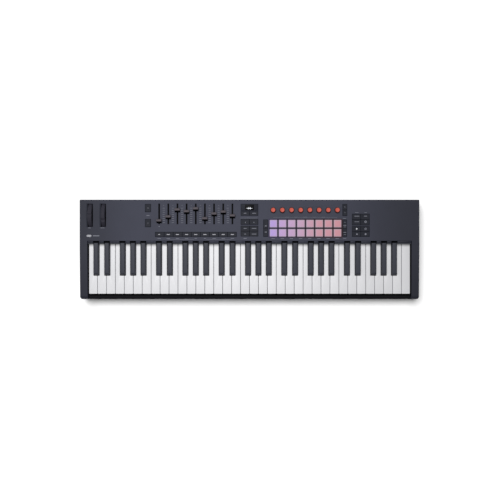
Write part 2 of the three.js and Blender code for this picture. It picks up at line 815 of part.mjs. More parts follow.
faderRestY.forEach((y, i) => {
  group.add(part(`fader_cap_${i + 1}`, fader(), faderPlastic, [faderFirstX + i * controlPitch, y, 0]));
});
for (let i = 0; i < knobCount; i += 1) {
  group.add(part(`knob_${i + 1}`, knobCap(), knobRed, [knobFirstX + i * controlPitch, knobY, 0]));
}
group.add(part('pad_mat', padMat(), padSilicone));
for (const [name, windows] of Object.entries(buttonMats)) {
  group.add(part(name, buttonMat(windows), capPlastic));
}

// The middle octave has loose keys; each other octave has one white and one black comb
const looseOctave = 2;
for (let octave = 0; octave < 5; octave += 1) {
  if (octave === looseOctave) {
    for (let step = 0; step < whitesPerOctave; step += 1) {
      const index = octave * whitesPerOctave + step;
      group.add(part(`white_key_${noteNames[step]}`, whiteKey(index), keyWhite));
      if (blackAfter.includes(step)) {
        group.add(part(`black_key_${noteNames[step]}_sharp`, blackKey(index), keyBlack));
      }
    }
  } else {
    group.add(part(`white_keys_octave_${octave + 1}`, whiteComb(octave), keyWhite));
    group.add(part(`black_keys_octave_${octave + 1}`, blackComb(octave), keyBlack));
  }
}

export default group;
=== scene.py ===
import math

import bmesh
import bpy
import numpy as np
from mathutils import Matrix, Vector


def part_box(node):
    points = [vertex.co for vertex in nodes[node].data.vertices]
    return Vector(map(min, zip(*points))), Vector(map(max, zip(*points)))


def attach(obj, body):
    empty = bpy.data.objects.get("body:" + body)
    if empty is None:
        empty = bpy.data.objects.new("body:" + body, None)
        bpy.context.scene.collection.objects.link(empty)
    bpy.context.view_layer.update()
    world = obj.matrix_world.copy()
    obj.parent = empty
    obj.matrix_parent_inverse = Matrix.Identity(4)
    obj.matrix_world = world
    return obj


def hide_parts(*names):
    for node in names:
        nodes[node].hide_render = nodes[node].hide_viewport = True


# A 61-key keyboard synthesizer, seen from straight above on a white table.
# Sizes are in millimetres until a mesh is made; X runs to the player's right, Z up.

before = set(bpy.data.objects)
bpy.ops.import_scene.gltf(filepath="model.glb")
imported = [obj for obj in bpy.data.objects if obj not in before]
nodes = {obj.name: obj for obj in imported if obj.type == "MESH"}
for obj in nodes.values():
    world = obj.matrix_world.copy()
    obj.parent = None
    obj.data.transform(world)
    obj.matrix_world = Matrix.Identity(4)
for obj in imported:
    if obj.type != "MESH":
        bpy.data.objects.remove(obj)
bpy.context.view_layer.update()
mm = 0.001


def boxOf(node):
    low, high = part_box(node)
    return np.array(low) / mm, np.array(high) / mm


def middleX(node):
    low, high = boxOf(node)
    return (low[0] + high[0]) / 2


panelZ = boxOf("top_case")[1][2]


# Surfaces

def stackRings(rings, loop=False):
    # Rings of equal length, one above the other, joined by quads. The end rings are closed by one
    # flat face each, or, with loop, the last ring joins the first.
    count, size = rings.shape[:2]
    here = np.arange(count * size).reshape(count, size)
    above = np.roll(here, -1, axis=0)
    if not loop:
        here, above = here[:-1], above[:-1]
    beside, aboveBeside = np.roll(here, -1, axis=1), np.roll(above, -1, axis=1)
    faces = np.stack([here, beside, aboveBeside, above], axis=-1).reshape(-1, 4).tolist()
    if not loop:
        faces += [list(range(size))[::-1], list(range((count - 1) * size, count * size))]
    return rings.reshape(-1, 3), faces


def outlineOf(corners, radii, steps=5):
    # Each corner becomes a curve between the two points that lie its radius away along its edges:
    # corner + radius * (toPrevious * (1 - t)^2 + toNext * t^2), for t from 0 to 1.
    corners = np.array(corners, float)
    radii = np.broadcast_to(np.array(radii, float), len(corners))[:, None, None]
    toPrevious = np.roll(corners, 1, axis=0) - corners
    toNext = np.roll(corners, -1, axis=0) - corners
    toPrevious /= np.linalg.norm(toPrevious, axis=1)[:, None]
    toNext /= np.linalg.norm(toNext, axis=1)[:, None]
    t = np.linspace(0, 1, steps)[None, :, None]
    curve = toPrevious[:, None] * (1 - t) ** 2 + toNext[:, None] * t ** 2
    return (corners[:, None] + radii * curve).reshape(-1, 2)


def rectangle(x0, x1, y0, y1, radius, steps=5):
    return outlineOf([(x0, y0), (x1, y0), (x1, y1), (x0, y1)], radius, steps)


def circle(radius, sides, x=0, y=0):
    angle = np.linspace(0, 2 * np.pi, sides, endpoint=False)
    return np.column_stack([x + radius * np.cos(angle), y + radius * np.sin(angle)])


def drawnIn(outline, inset):
    # Each point moves in along the mitre of its edges, so that every edge moves by inset
    before = outline - np.roll(outline, 1, axis=0)
    after = np.roll(outline, -1, axis=0) - outline
    before = np.column_stack([before[:, 1], -before[:, 0]]) / np.linalg.norm(before, axis=1)[:, None]
    after = np.column_stack([after[:, 1], -after[:, 0]]) / np.linalg.norm(after, axis=1)[:, None]
    mitre = (before + after) / (1 + (before * after).sum(axis=1))[:, None]
    return outline - inset * mitre


def placed(flat, height, axis):
    # A flat loop (u, v) at a height along an axis: z takes (x, y), x takes (y, z), y takes (z, x)
    height = np.broadcast_to(height, len(flat))
    return np.roll(np.column_stack([flat, height]), {"z": 0, "x": 1, "y": 2}[axis], axis=1)


def moulding(outline, profile, axis="z"):
    # The outline carried along the axis: at each (inset, height) of the profile it is drawn in by
    # inset.
    rings = [placed(drawnIn(outline, inset), height, axis) for inset, height in profile]
    return stackRings(np.stack(rings))


def roundedEdge(edge, top, steps=4):
    # A quarter circle of radius edge from the wall to the top face, as (inset, height)
    angle = np.linspace(0, np.pi / 2, steps)
    return list(zip(edge * (1 - np.cos(angle)), top - edge + edge * np.sin(angle)))


def rounded(outline, low, high, edge, axis="z", steps=4):
    # A moulding with both its ends rounded off
    top = roundedEdge(edge, high, steps)
    bottom = [(inset, low + high - height) for inset, height in top[::-1]]
    return moulding(outline, bottom + top, axis)


capWall = {"under": 0.5, "smallest": 0.04}  # below the rounded edge; the last ring's share


def cap(x, y, z, corner, edge, crown, rows=5):
    # A button or pad. Its top is the outline shrunk by size, raised by crown * (1 - size^2).
    outline = rectangle(*x, *y, corner)
    middle = np.array([sum(x) / 2, sum(y) / 2])
    wall = [(0, z[0]), (0, z[1] - edge - capWall["under"])] + roundedEdge(edge, z[1])
    rings = [placed(drawnIn(outline, inset), height, "z") for inset, height in wall]
    rim = drawnIn(outline, edge)
    for size in np.linspace(1, 0, rows + 1)[1:]:
        size = max(size, capWall["smallest"])
        rings.append(placed(middle + (rim - middle) * size, z[1] + crown * (1 - size ** 2), "z"))
    return stackRings(np.stack(rings))


def turned(profile, sides, place, axis="z", loop=False):
    # A profile of (radius, height) turned about the axis through place
    rings = np.stack([placed(circle(radius, sides), height, axis) for radius, height in profile])
    return stackRings(rings + np.array(place), loop)


def joined(shells):
    points, faces, start = [], [], 0
    for shellPoints, shellFaces in shells:
        points.append(shellPoints)
        faces += [[corner + start for corner in face] for face in shellFaces]
        start += len(shellPoints)
    return np.concatenate(points), faces


def added(name, data):
    made = bpy.data.objects.new(name, data)
    bpy.context.scene.collection.objects.link(made)
    return made


def piece(name, shells, material, body, replaces=(), smooth=35):
    # Makes one object of closed shells. Faces are smooth, and edges sharper than the angle stay
    # crisp.
    points, faces = joined(shells)
    mesh = bpy.data.meshes.new(name)
    mesh.from_pydata((points * mm).tolist(), [], faces)
    mesh.materials.append(material)
    mesh.polygons.foreach_set("use_smooth", [True] * len(mesh.polygons))
    mesh.set_sharp_from_angle(angle=math.radians(smooth))
    made = added(name, mesh)
    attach(made, body)
    if replaces:
        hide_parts(*replaces)
    return made


dressing = {"merge": 0.005, "flat": 0.5, "sharp": 40, "segments": 2, "weight": 100}


def dressed(node, name, material, body, edge):
    # A copy of a CAD node with its loose triangles merged into whole faces and its edges rounded
    mesh = nodes[node].data.copy()
    mesh.name = name
    work = bmesh.new()
    work.from_mesh(mesh)
    bmesh.ops.remove_doubles(work, verts=work.verts, dist=dressing["merge"] * mm)
    bmesh.ops.dissolve_limit(work, angle_limit=math.radians(dressing["flat"]), verts=work.verts,
                             edges=work.edges)
    for face in work.faces:
        face.smooth = True
    work.to_mesh(mesh)
    work.free()
    mesh.materials.clear()
    mesh.materials.append(material)
    made = added(name, mesh)
    bevel = made.modifiers.new("edges", "BEVEL")
    bevel.width = edge * mm
    bevel.segments = dressing["segments"]
    bevel.limit_method = "ANGLE"
    bevel.angle_limit = math.radians(dressing["sharp"])
    bevel.use_clamp_overlap = False
    shading = made.modifiers.new("shading", "WEIGHTED_NORMAL")
    shading.weight = dressing["weight"]
    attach(made, body)
    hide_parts(node)


# Finishes

black = (0, 0, 0, 1)
noiseRange = (0.25, 0.75)  # where nearly all of a noise lies
cloudSize = 60
wander = 0.06  # how far a roughness strays to either side


def tone(red, green, blue):
    # A colour written as 0 to 255, as linear light
    shade = np.array([red, green, blue]) / 255
    light = np.where(shade < 0.04045, shade / 12.92, ((shade + 0.055) / 1.055) ** 2.4)
    return (*light.tolist(), 1)


def newMaterial(name):
    material = bpy.data.materials.new(name)
    material.use_nodes = True
    tree = material.node_tree
    place = tree.nodes.new("ShaderNodeTexCoord").outputs["Object"]
    return material, tree, place, tree.nodes["Principled BSDF"]


def fill(tree, node, **inputs):
    # Links or sets each input, its name written with _ for a space
    for name, value in inputs.items():
        socket = node.inputs[name.replace("_", " ")]
        if isinstance(value, bpy.types.NodeSocket):
            tree.links.new(value, socket)
        else:
            socket.default_value = value


def newNode(tree, kind, **inputs):
    node = tree.nodes.new(f"ShaderNode{kind}")
    fill(tree, node, **inputs)
    return node


def noise(tree, place, size, detail=2, stretch=None):
    # Lumps about size millimetres across, drawn out along each axis by stretch
    if stretch:
        scale = [1 / amount for amount in stretch]
        place = newNode(tree, "Mapping", Scale=scale, Vector=place).outputs["Vector"]
    return newNode(tree, "TexNoise", Scale=1 / (size * mm), Detail=detail, Vector=place).outputs["Fac"]


def mapRange(tree, value, start, end, low=0, high=1):
    # Values from start to end become values from low to high
    return newNode(tree, "MapRange", From_Min=start, From_Max=end, To_Min=low, To_Max=high, Value=value)


def mapped(tree, value, low, high):
    return mapRange(tree, value, *noiseRange, low, high).outputs["Result"]


def mixed(tree, factor, first, second):
    mix = newNode(tree, "Mix")
    mix.data_type = "RGBA"
    fill(tree, mix, Factor=factor, A=first, B=second)
    return mix.outputs["Result"]


def bumped(tree, shader, height, depth):
    bump = newNode(tree, "Bump", Distance=depth * mm, Height=height)
    fill(tree, shader, Normal=bump.outputs["Normal"])


def shaded(colour, amount):
    return tuple(channel * amount for channel in colour[:3]) + (1,)


def painted(tree, shader, fine, amount, first, second, socket="Base_Color"):
    # The first colour, with the grain of the fine noise in the second
    grained = mixed(tree, mapped(tree, fine, 0, amount), first, second)
    fill(tree, shader, **{socket: grained})


def surfaced(tree, shader, fine, low, high, depth):
    # A roughness and a height that follow the fine noise
    fill(tree, shader, Roughness=mapped(tree, fine, low, high))
    bumped(tree, shader, fine, depth)


def along(tree, place, axis):
    return newNode(tree, "SeparateXYZ", Vector=place).outputs[axis]


def paintedShadeRamp(tree, place, axis, near, far, amount):
    # Painted shade: rises smoothly from 0 at near to amount at far, both in millimetres along the axis
    rise = mapRange(tree, along(tree, place, axis), near * mm, far * mm, 0, amount)
    rise.interpolation_type = "SMOOTHSTEP"
    return rise.outputs["Result"]


def moulded(name, colour, roughness, grain=0.5, depth=0.01, mottle=0.08, stretch=None, ends=(),
            **sockets):
    # A finish with cloudy colour, a fine grain, and a roughness that wanders with it.
    # With ends it darkens smoothly along each (axis, near, far, amount), as painted shade.
    material, tree, place, shader = newMaterial(name)
    cloud = mapped(tree, noise(tree, place, cloudSize, 3), 0, 1)
    fine = noise(tree, place, grain, 3, stretch)
    colour = mixed(tree, cloud, shaded(colour, 1 - mottle), shaded(colour, 1 + mottle))
    for end in ends:
        colour = mixed(tree, paintedShadeRamp(tree, place, *end), colour, black)
    painted(tree, shader, fine, mottle, colour, black)
    surfaced(tree, shader, fine, roughness - wander, roughness + wander, depth)
    fill(tree, shader, **sockets)
    return material


dull = {"Specular_IOR_Level": 0.2}
# The case colour darkens towards both ends and towards the front: painted shade of the light's falloff.
casePlastic = moulded("case_plastic", tone(59, 61, 76), 0.56, grain=0.45, depth=0.02, mottle=0.05,
                      ends=[("X", -300, -446, 0.36), ("X", 200, 446, 0.46), ("Y", 10, -120, 0.2)], **dull)
trayPlastic = moulded("tray_plastic", tone(8, 8, 14), 0.68, grain=0.7, depth=0.03,
                      Specular_IOR_Level=0.12)
# The white keys darken a little towards the right, painted shade, and strongly towards the rear under the
# panel's edge, painted shadow.
whitePlastic = moulded("key_white", tone(233, 233, 236), 0.4, grain=3, depth=0.004, mottle=0.015,
                       ends=[("X", 100, 430, 0.09), ("Y", 5.5, 16.5, 0.9)], Specular_IOR_Level=0.25)
blackPlastic = moulded("key_black", tone(57, 59, 69), 0.5, grain=0.35, depth=0.012, mottle=0.06, **dull)
wheelRubber = moulded("wheel_rubber", tone(51, 50, 60), 0.7, grain=0.5, depth=0.03, **dull)
matRubber = moulded("mat_rubber", tone(20, 20, 25), 0.8, grain=0.6, depth=0.03, **dull)
buttonPlastic = moulded("button_plastic", tone(22, 25, 38), 0.56, grain=0.4, depth=0.012, **dull)
faderPlastic = moulded("fader_plastic", tone(90, 84, 90), 0.5, grain=0.4, depth=0.015, **dull)
# Black for surfaces that stand in for shade: the fader fronts, the band beside the keys, the strips beside
# the wheel slots and the lips of the fader slots; painted shade.
shadeBlack = moulded("fader_front", tone(5, 5, 8), 0.7, grain=0.4, depth=0.015,
                     Specular_IOR_Level=0.04)
knobRubber = moulded("knob_plastic", tone(208, 94, 78), 0.5, grain=0.5, depth=0.02, mottle=0.05, **dull)
shadedKnobRed = moulded("knob_skirt", tone(54, 30, 34), 0.55, grain=0.5, depth=0.02, mottle=0.05, **dull)
footRubber = moulded("foot_rubber", tone(28, 28, 30), 0.85, grain=0.8, depth=0.05)
platedSteel = moulded("plated_steel", tone(176, 178, 184), 0.3, grain=0.4, depth=0.006,
                      stretch=(40, 1, 1), Metallic=1)
screwSteel = moulded("screw_steel", tone(70, 70, 74), 0.38, grain=0.6, depth=0.01, Metallic=1)
ink = moulded("print_ink", tone(124, 126, 138), 0.6, grain=0.3, depth=0.004)
brightInk = moulded("bright_ink", tone(225, 226, 232), 0.6, grain=0.3, depth=0.004)
screenGlass = moulded("screen_glass", tone(6, 6, 9), 0.42, grain=20, depth=0.001,
                      Specular_IOR_Level=0.06)
# Grey felt for the tongues that stand in for the shade under the panel's edge: painted shade.
shadeFelt = moulded("shade_felt", tone(80, 82, 90), 0.95, grain=0.25, depth=0.15, mottle=0.2,
                   Sheen_Weight=0.1)
redFelt = moulded("felt", tone(120, 26, 28), 0.95, grain=0.25, depth=0.2, mottle=0.2, Sheen_Weight=0.6)
print("finishes made")


# The case

caseEdge = {"panel": 0.5, "tray": 0.6}
dressed("top_case", "top_shell", casePlastic, "case", caseEdge["panel"])
dressed("bottom_case", "tray_shell", trayPlastic, "case", caseEdge["tray"])


foot = {"corner": 1.1, "edge": 0.8}


def footStrip(node, name):
    low, high = boxOf(node)
    section = rectangle(low[1], high[1], low[2], high[2], foot["corner"])
    shell = rounded(section, low[0], high[0], foot["edge"], "x")
    piece(name, [shell], footRubber, "case", [node])


footStrip("foot_front", "foot_strip_front")
footStrip("foot_rear", "foot_strip_rear")


screw = {"sides": 64, "xs": (-400, -200, 0, 200, 400), "ys": (-96, 84), "inner": 0.3,
         "rings": ((1.1, 4.6, 1), (1.5, 3.62, 1), (2.4, 3.66, 0), (3, 3.9, 0), (3.2, 4.3, 0),
                   (3.2, 4.98, 0))}


def baseScrew(x, y):
    # A pan head that faces down. Rings of (radius, height, cross) run outwards from the recess;
    # cross says how much of the circle turns into four arms:
    # radius * (inner + (1 - inner) * cos(2 * angle)^2)
    angle = np.linspace(0, 2 * np.pi, screw["sides"], endpoint=False)
    arms = screw["inner"] + (1 - screw["inner"]) * np.abs(np.cos(2 * angle)) ** 2
    rings = []
    for radius, height, cross in screw["rings"]:
        reach = radius * (1 + (arms - 1) * cross)
        flat = np.column_stack([x + reach * np.cos(angle), y + reach * np.sin(angle)])
        rings.append(placed(flat, height, "z"))
    return stackRings(np.stack(rings))


screwShells = [baseScrew(x, y) for x in screw["xs"] for y in screw["ys"]]
piece("base_screws", screwShells, screwSteel, "case")
print("case made")


# The keys

keys = {"gap": 1, "trim": 1, "top": 54, "under": 42, "wall": 2.2, "edge": 1.1, "corner": 1.7,
        "lip": 36, "lipDepth": 0.1, "lipSlope": 1.5, "chamfer": 0.25, "notchGap": 1.5,
        "slabRear": 27.2, "tailFront": 22, "tail": (38, 48), "hinge": {"y": 46, "z": 43, "radius": 2.2}}
blackKey = {"width": 14.1, "topWidth": 11.4, "slot": 15.8, "base": 53, "top": 65, "slope": 4.8,
            "front": -67.4, "rear": 17.5, "corner": 2.2, "edge": 1.6, "hollow": 2, "climb": (0.3, 4, 7)}
plunger = {"half": 2, "y": (-12, -8), "foot": 31, "chamfer": 0.3, "chamferHeight": 0.4, "corner": 0.5}
spines = {"white": {"y": (39, 43), "bar": (33.5, 37.2), "leg": (33.6, 39)},
          "black": {"y": (40, 45), "bar": (48.8, 50.8), "leg": (47, 50.7)}, "corner": 0.5, "edge": 0.4}
whitesPerOctave = 7
whiteCount = 36
octaves = 5
firstComb, lastComb = boxOf("white_keys_octave_1"), boxOf("white_keys_octave_5")
whiteFront, tailRear = firstComb[0][1], firstComb[1][1]
keybedLeft = firstComb[0][0] - keys["gap"] / 2
whitePitch = (lastComb[1][0] + keys["gap"] / 2 - keybedLeft) / whiteCount
blackAfter = [0, 1, 3, 4, 5]  # a black key follows these white keys of an octave
sameEdge = 0.1  # edges closer than this are one


def tailSpan(index):
    # The tails of C to E, of F to B and of the last C share their run's width evenly
    step = index % whitesPerOctave
    first, count = (index - step, 3) if step < 3 else (index - step + 3, 4)
    if index == whiteCount - 1:
        first, count = index, 1
    tail = (count * whitePitch - keys["gap"] - (count - 1) * blackKey["slot"]) / count
    left = keybedLeft + first * whitePitch + keys["gap"] / 2 + (index - first) * (tail + blackKey["slot"])
    return left, left + tail


def tailShell(left, right):
    # The rear end of a key, with the round notch that sits on the hinge rail
    low, high = keys["tail"]
    angle = np.linspace(np.pi, 0, 9)
    hinge = keys["hinge"]
    arch = np.column_stack([hinge["y"] + hinge["radius"] * np.cos(angle),
                            hinge["z"] + hinge["radius"] * np.sin(angle)])
    section = np.concatenate([
        [(keys["tailFront"], low), (hinge["y"] - hinge["radius"], low)],
        arch,
        [(hinge["y"] + hinge["radius"], low), (tailRear, low), (tailRear, high), (keys["tailFront"], high)],
    ])
    return moulding(section, [(0, left), (0, right)], "x")


def plungerShell(x):
    outline = rectangle(x - plunger["half"], x + plunger["half"], *plunger["y"], plunger["corner"])
    low = plunger["foot"]
    return moulding(outline, [(plunger["chamfer"], low - plunger["chamferHeight"]), (0, low),
                              (0, keys["under"] + plunger["half"])])


def whiteKeyShells(index):
    left = keybedLeft + index * whitePitch + keys["gap"] / 2
    right = left + whitePitch - keys["gap"]
    tailLeft, tailRight = tailSpan(index)
    if index == 0:
        left, tailLeft = left + keys["trim"], tailLeft + keys["trim"]
    if index == whiteCount - 1:
        right, tailRight = right - keys["trim"], tailRight - keys["trim"]
    notch = blackKey["front"] - keys["notchGap"]
    corners = [(left, whiteFront), (right, whiteFront), (right, notch), (tailRight, notch),
               (tailRight, keys["slabRear"]), (tailLeft, keys["slabRear"]), (tailLeft, notch), (left, notch)]
    if right - tailRight < sameEdge:
        corners = [corner for i, corner in enumerate(corners) if i not in (2, 3)]
        corners[1] = (tailRight, whiteFront)
    if tailLeft - left < sameEdge:
        corners = corners[:-2]
        corners[0] = (tailLeft, whiteFront)
    outline = outlineOf(corners, keys["corner"])
    # The underside hangs down at the front as a lip; the inside is hollow, as in a moulded key
    lip = np.clip((outline[:, 1] - whiteFront - keys["lipDepth"]) / keys["lipSlope"], 0, 1)
    under = keys["lip"] + (keys["under"] - keys["lip"]) * lip * lip * (3 - 2 * lip)
    ceiling = keys["top"] - keys["wall"]
    chamfer = keys["chamfer"]
    profile = [(keys["wall"], ceiling), (keys["wall"], under), (chamfer, under), (0, under + chamfer)]
    profile += roundedEdge(keys["edge"], keys["top"], 5)
    return [moulding(outline, profile), tailShell(tailLeft, tailRight),
            plungerShell((tailLeft + tailRight) / 2)]


def blackCentre(index):
    return (tailSpan(index)[1] + tailSpan(index + 1)[0]) / 2


def blackKeyShells(index):
    # Rings climb the key: sides lean in and the front slopes back on a quarter-sine, then the top
    # edge is rounded off
    centre = blackCentre(index)
    base, top = blackKey["base"], blackKey["top"]
    half = blackKey["width"] / 2
    foot = rectangle(centre - half, centre + half, blackKey["front"], keys["slabRear"],
                     blackKey["corner"])
    rings = [placed(drawnIn(foot, inset), height, "z")
             for height, inset in ((keys["under"], blackKey["hollow"]), (keys["under"], 0), (base, 0))]
    climb = [(0, base + height) for height in blackKey["climb"]]
    for inset, height in climb + roundedEdge(blackKey["edge"], top, 6):
        rise = (height - base) / (top - base)
        reach = (blackKey["width"] + (blackKey["topWidth"] - blackKey["width"]) * rise) / 2
        front = blackKey["front"] + blackKey["slope"] * (1 - math.cos(rise * math.pi / 2))
        loop = rectangle(centre - reach, centre + reach, front, blackKey["rear"], blackKey["corner"])
        rings.append(placed(drawnIn(loop, inset), height, "z"))
    return [stackRings(np.stack(rings)), tailShell(centre - half, centre + half), plungerShell(centre)]


def spineShell(left, right, y, z):
    return rounded(rectangle(*y, *z, spines["corner"]), left, right, spines["edge"], "x")


def whitesOf(octave):
    # The last octave also has the top C
    first = octave * whitesPerOctave
    return range(first, whiteCount if octave == octaves - 1 else first + whitesPerOctave)


def blacksOf(octave):
    return [octave * whitesPerOctave + step for step in blackAfter]


def combSpine(octave, colour):
    # The bar under the white tails, or over the black ones, that makes one moulding of an octave
    whites = whitesOf(octave)
    spans = [tailSpan(index) for index in whites]
    if colour == "black":
        half = blackKey["width"] / 2
        spans = [(centre - half, centre + half) for centre in map(blackCentre, blacksOf(octave))]
    spine = spines[colour]
    bar = spineShell(spans[0][0], spans[-1][1], spine["y"], spine["bar"])
    return [bar, *[spineShell(*span, spine["y"], spine["leg"]) for span in spans]]


noteNames = ["c", "d", "e", "f", "g", "a", "b"]
looseOctave = 2
kinds = (("white", whitesOf, whiteKeyShells, whitePlastic, ""),
         ("black", blacksOf, blackKeyShells, blackPlastic, "_sharp"))
for octave in range(octaves):
    for colour, indicesOf, shells, material, sharp in kinds:
        indices, slotName = indicesOf(octave), f"key_{colour}"
        if octave == looseOctave:
            for index in indices:
                note = noteNames[index % whitesPerOctave] + sharp
                node = f"{colour}_key_{note}"
                piece(f"key_{note}", shells(index), material, node, [node])
            continue
        node = f"{colour}_keys_octave_{octave + 1}"
        every = [shell for index in indices for shell in shells(index)] + combSpine(octave, colour)
        piece(f"{colour}_comb_{octave + 1}", every, material, node, [node])


# Between every two black keys a grey felt tongue hangs under the panel's front edge, with a lip of
# the case standing on it; the tongues stand in for the shade under that edge, as painted shade. A
# black band runs under the lips and down both sides of the keys, as painted shade in the gaps, and
# a felt lies on the rail that stops the keys.
felt = {"half": 425.2, "tongue": 14.4, "front": 17.9, "rear": 22.4, "z": (54.5, 56.3), "side": 7.9,
        "corner": 1, "edge": 0.8}
lip = {"corner": 0.6, "z": (55.7, 62.6), "edge": 0.8}
band = {"inset": 0.2, "corner": 0.6, "edge": 0.4, "gap": 0.5, "front": -112, "sideZ": (46, 52.6),
        "sideCorner": 0.2, "sideEdge": 0.15}
stopFelt = {"half": 422, "y": (-109.6, -98.5), "z": (31.1, 32), "corner": 0.8, "edge": 0.4}
blackCentres = [blackCentre(index) for octave in range(octaves) for index in blacksOf(octave)]
tongueLefts = [-felt["half"]] + [centre + felt["side"] for centre in blackCentres]
tongueRights = [centre - felt["side"] for centre in blackCentres] + [felt["half"]]
tongues, lips = [], []
for left, right in zip(tongueLefts, tongueRights):
    tongue = rectangle(left, right, felt["tongue"], felt["rear"], felt["corner"])
    tongues.append(rounded(tongue, *felt["z"], felt["edge"]))
    lips.append(rounded(rectangle(left, right, felt["front"], felt["rear"], lip["corner"]),
                        *lip["z"], lip["edge"]))
strip = rounded(rectangle(-felt["half"], felt["half"], felt["front"] + band["inset"],
                          felt["rear"] - band["inset"], band["corner"]),
                felt["z"][0] + band["inset"], felt["z"][1] - band["inset"], band["edge"])
# The felt tongues are painted shade under the panel's front edge.
piece("shade_tongues", tongues, shadeFelt, "case")
keybedHalf = (lastComb[1][0] - firstComb[0][0]) / 2 - band["gap"]
sides = [rounded(rectangle(*x, band["front"], felt["front"], band["sideCorner"]),
                 *band["sideZ"], band["sideEdge"])
         for x in ((-felt["half"], -keybedHalf), (keybedHalf, felt["half"]))]
# The black band is painted shade under the lips and in the gaps beside the keys.
piece("shade_band", [strip, *sides], shadeBlack, "case")
piece("panel_lip", lips, casePlastic, "case")
stop = rounded(rectangle(-stopFelt["half"], stopFelt["half"], *stopFelt["y"], stopFelt["corner"]),
               *stopFelt["z"], stopFelt["edge"])
piece("stop_felt", [stop], redFelt, "case")
print("keys made")


# The wheels

wheel = {"height": 42.4, "rim": 36, "crown": 0.3, "slimmer": 0.9, "shift": 2.1, "bore": 2.4, "hub": 9,
         "recess": 1.4, "fall": 1.5, "tyre": 28, "shoulder": 31, "edge": 2.4, "flat": -8.5,
         "notchRadius": 7, "notchDepth": 2.2, "sides": 180}


def wheelPiece(node, name, notchAngle, lean):
    # A section of (x, radius) turned about the X axis. Where the finger notch, a cylinder across
    # the rim, cuts deeper, the radius follows the notch. The hidden side is cut flat.
    bracketLow, bracketHigh = boxOf("wheel_bracket")
    low, high = boxOf(node)
    middle = np.array([(low[0] + high[0]) / 2 + wheel["shift"],
                       (bracketLow[1] + bracketHigh[1]) / 2, wheel["height"]])
    half, rim = (high[0] - low[0]) / 2 - wheel["slimmer"], wheel["rim"]
    shoulder = [(inset - half, height) for inset, height in
                roundedEdge(wheel["edge"], rim - wheel["crown"], 5)]
    floor = -half + wheel["recess"]
    side = [(-half, wheel["bore"]), (-half, wheel["hub"]), (floor, wheel["hub"] + wheel["fall"]),
            (floor, wheel["tyre"] - wheel["fall"]), (-half, wheel["tyre"]), (-half, wheel["shoulder"])]
    section = side + shoulder + [(0, rim)]
    section = np.array(section + [(-x, radius) for x, radius in section[-2::-1]])
    angle = np.linspace(0, 2 * np.pi, wheel["sides"], endpoint=False)
    reach = rim + wheel["notchRadius"] - wheel["notchDepth"]
    away = (angle - notchAngle + np.pi) % (2 * np.pi) - np.pi
    inside = np.clip(wheel["notchRadius"] ** 2 - (reach * np.sin(away)) ** 2, 0, None)
    notch = np.where((inside > 0) & (np.abs(away) < 1), reach * np.cos(away) - np.sqrt(inside), rim)
    radius = np.minimum(section[:, 1][:, None], notch[None, :])
    across = np.sin(angle)[None] * radius
    up = np.maximum(np.cos(angle)[None] * radius, wheel["flat"])
    tilt = math.radians(lean)
    y = across * math.cos(tilt) - up * math.sin(tilt)
    z = across * math.sin(tilt) + up * math.cos(tilt)
    rings = np.stack([np.broadcast_to(section[:, 0][:, None], y.shape), y, z], axis=-1) + middle
    shell = stackRings(rings[:, ::-1], loop=True)
    piece(name, [shell], wheelRubber, node, [node], 40)


wheelPiece("pitch_wheel", "pitch_wheel_rubber", 0, 0)
wheelPiece("mod_wheel", "mod_wheel_rubber", math.radians(3.5), 25)

# Each slot has a rib inside its left wall and, beside its right one, a black strip let into the panel:
# painted shadow beside the wheel.
slot = {"half": 7.8, "y": (59.7, 120), "rib": 2.5, "ribFoot": 58, "edge": 0.3, "off": 0.05,
        "trim": 1.2, "trimCorner": 0.5}
# The flush strips let into the panel are black, as painted shade beside the slots.
flush = [(0, panelZ - 0.4), (0, panelZ), (0.1, panelZ + 0.08)]  # a thin trim let into the panel
ribs, shadowStrips = [], []
for node in ("pitch_wheel", "mod_wheel"):
    left, right = middleX(node) - slot["half"], middleX(node) + slot["half"]
    rib = rectangle(left + slot["off"], left + slot["rib"], *slot["y"], slot["edge"])
    ribs.append(rounded(rib, slot["ribFoot"], panelZ, slot["edge"]))
    shadowStrips.append(moulding(rectangle(right - slot["edge"], right + slot["trim"], *slot["y"],
                                    slot["trimCorner"], 3), flush))
piece("slot_ribs", ribs, casePlastic, "case")
piece("slot_shadow_strips", shadowStrips, shadeBlack, "case")
print("wheels made")


# The faders

fader = {"foot": 67, "dish": 0.7, "waist": 0.8, "groove": 0.35, "grooveHalf": 0.06, "gripFront": -1.2,
         "gripWall": 2.6, "gripEdge": 0.5, "rampGap": 0.3, "rampTop": 0.6, "rampFoot": 2.4,
         "rampPower": 0.8, "rampEdge": 0.4}
lever = {"halfX": 1, "halfY": 2, "corner": 0.3, "foot": 57.3, "chamfer": 0.2}
slotLip = {"beside": 1.65, "half": 0.55, "y": (66.2, 120.8), "corner": 0.4}


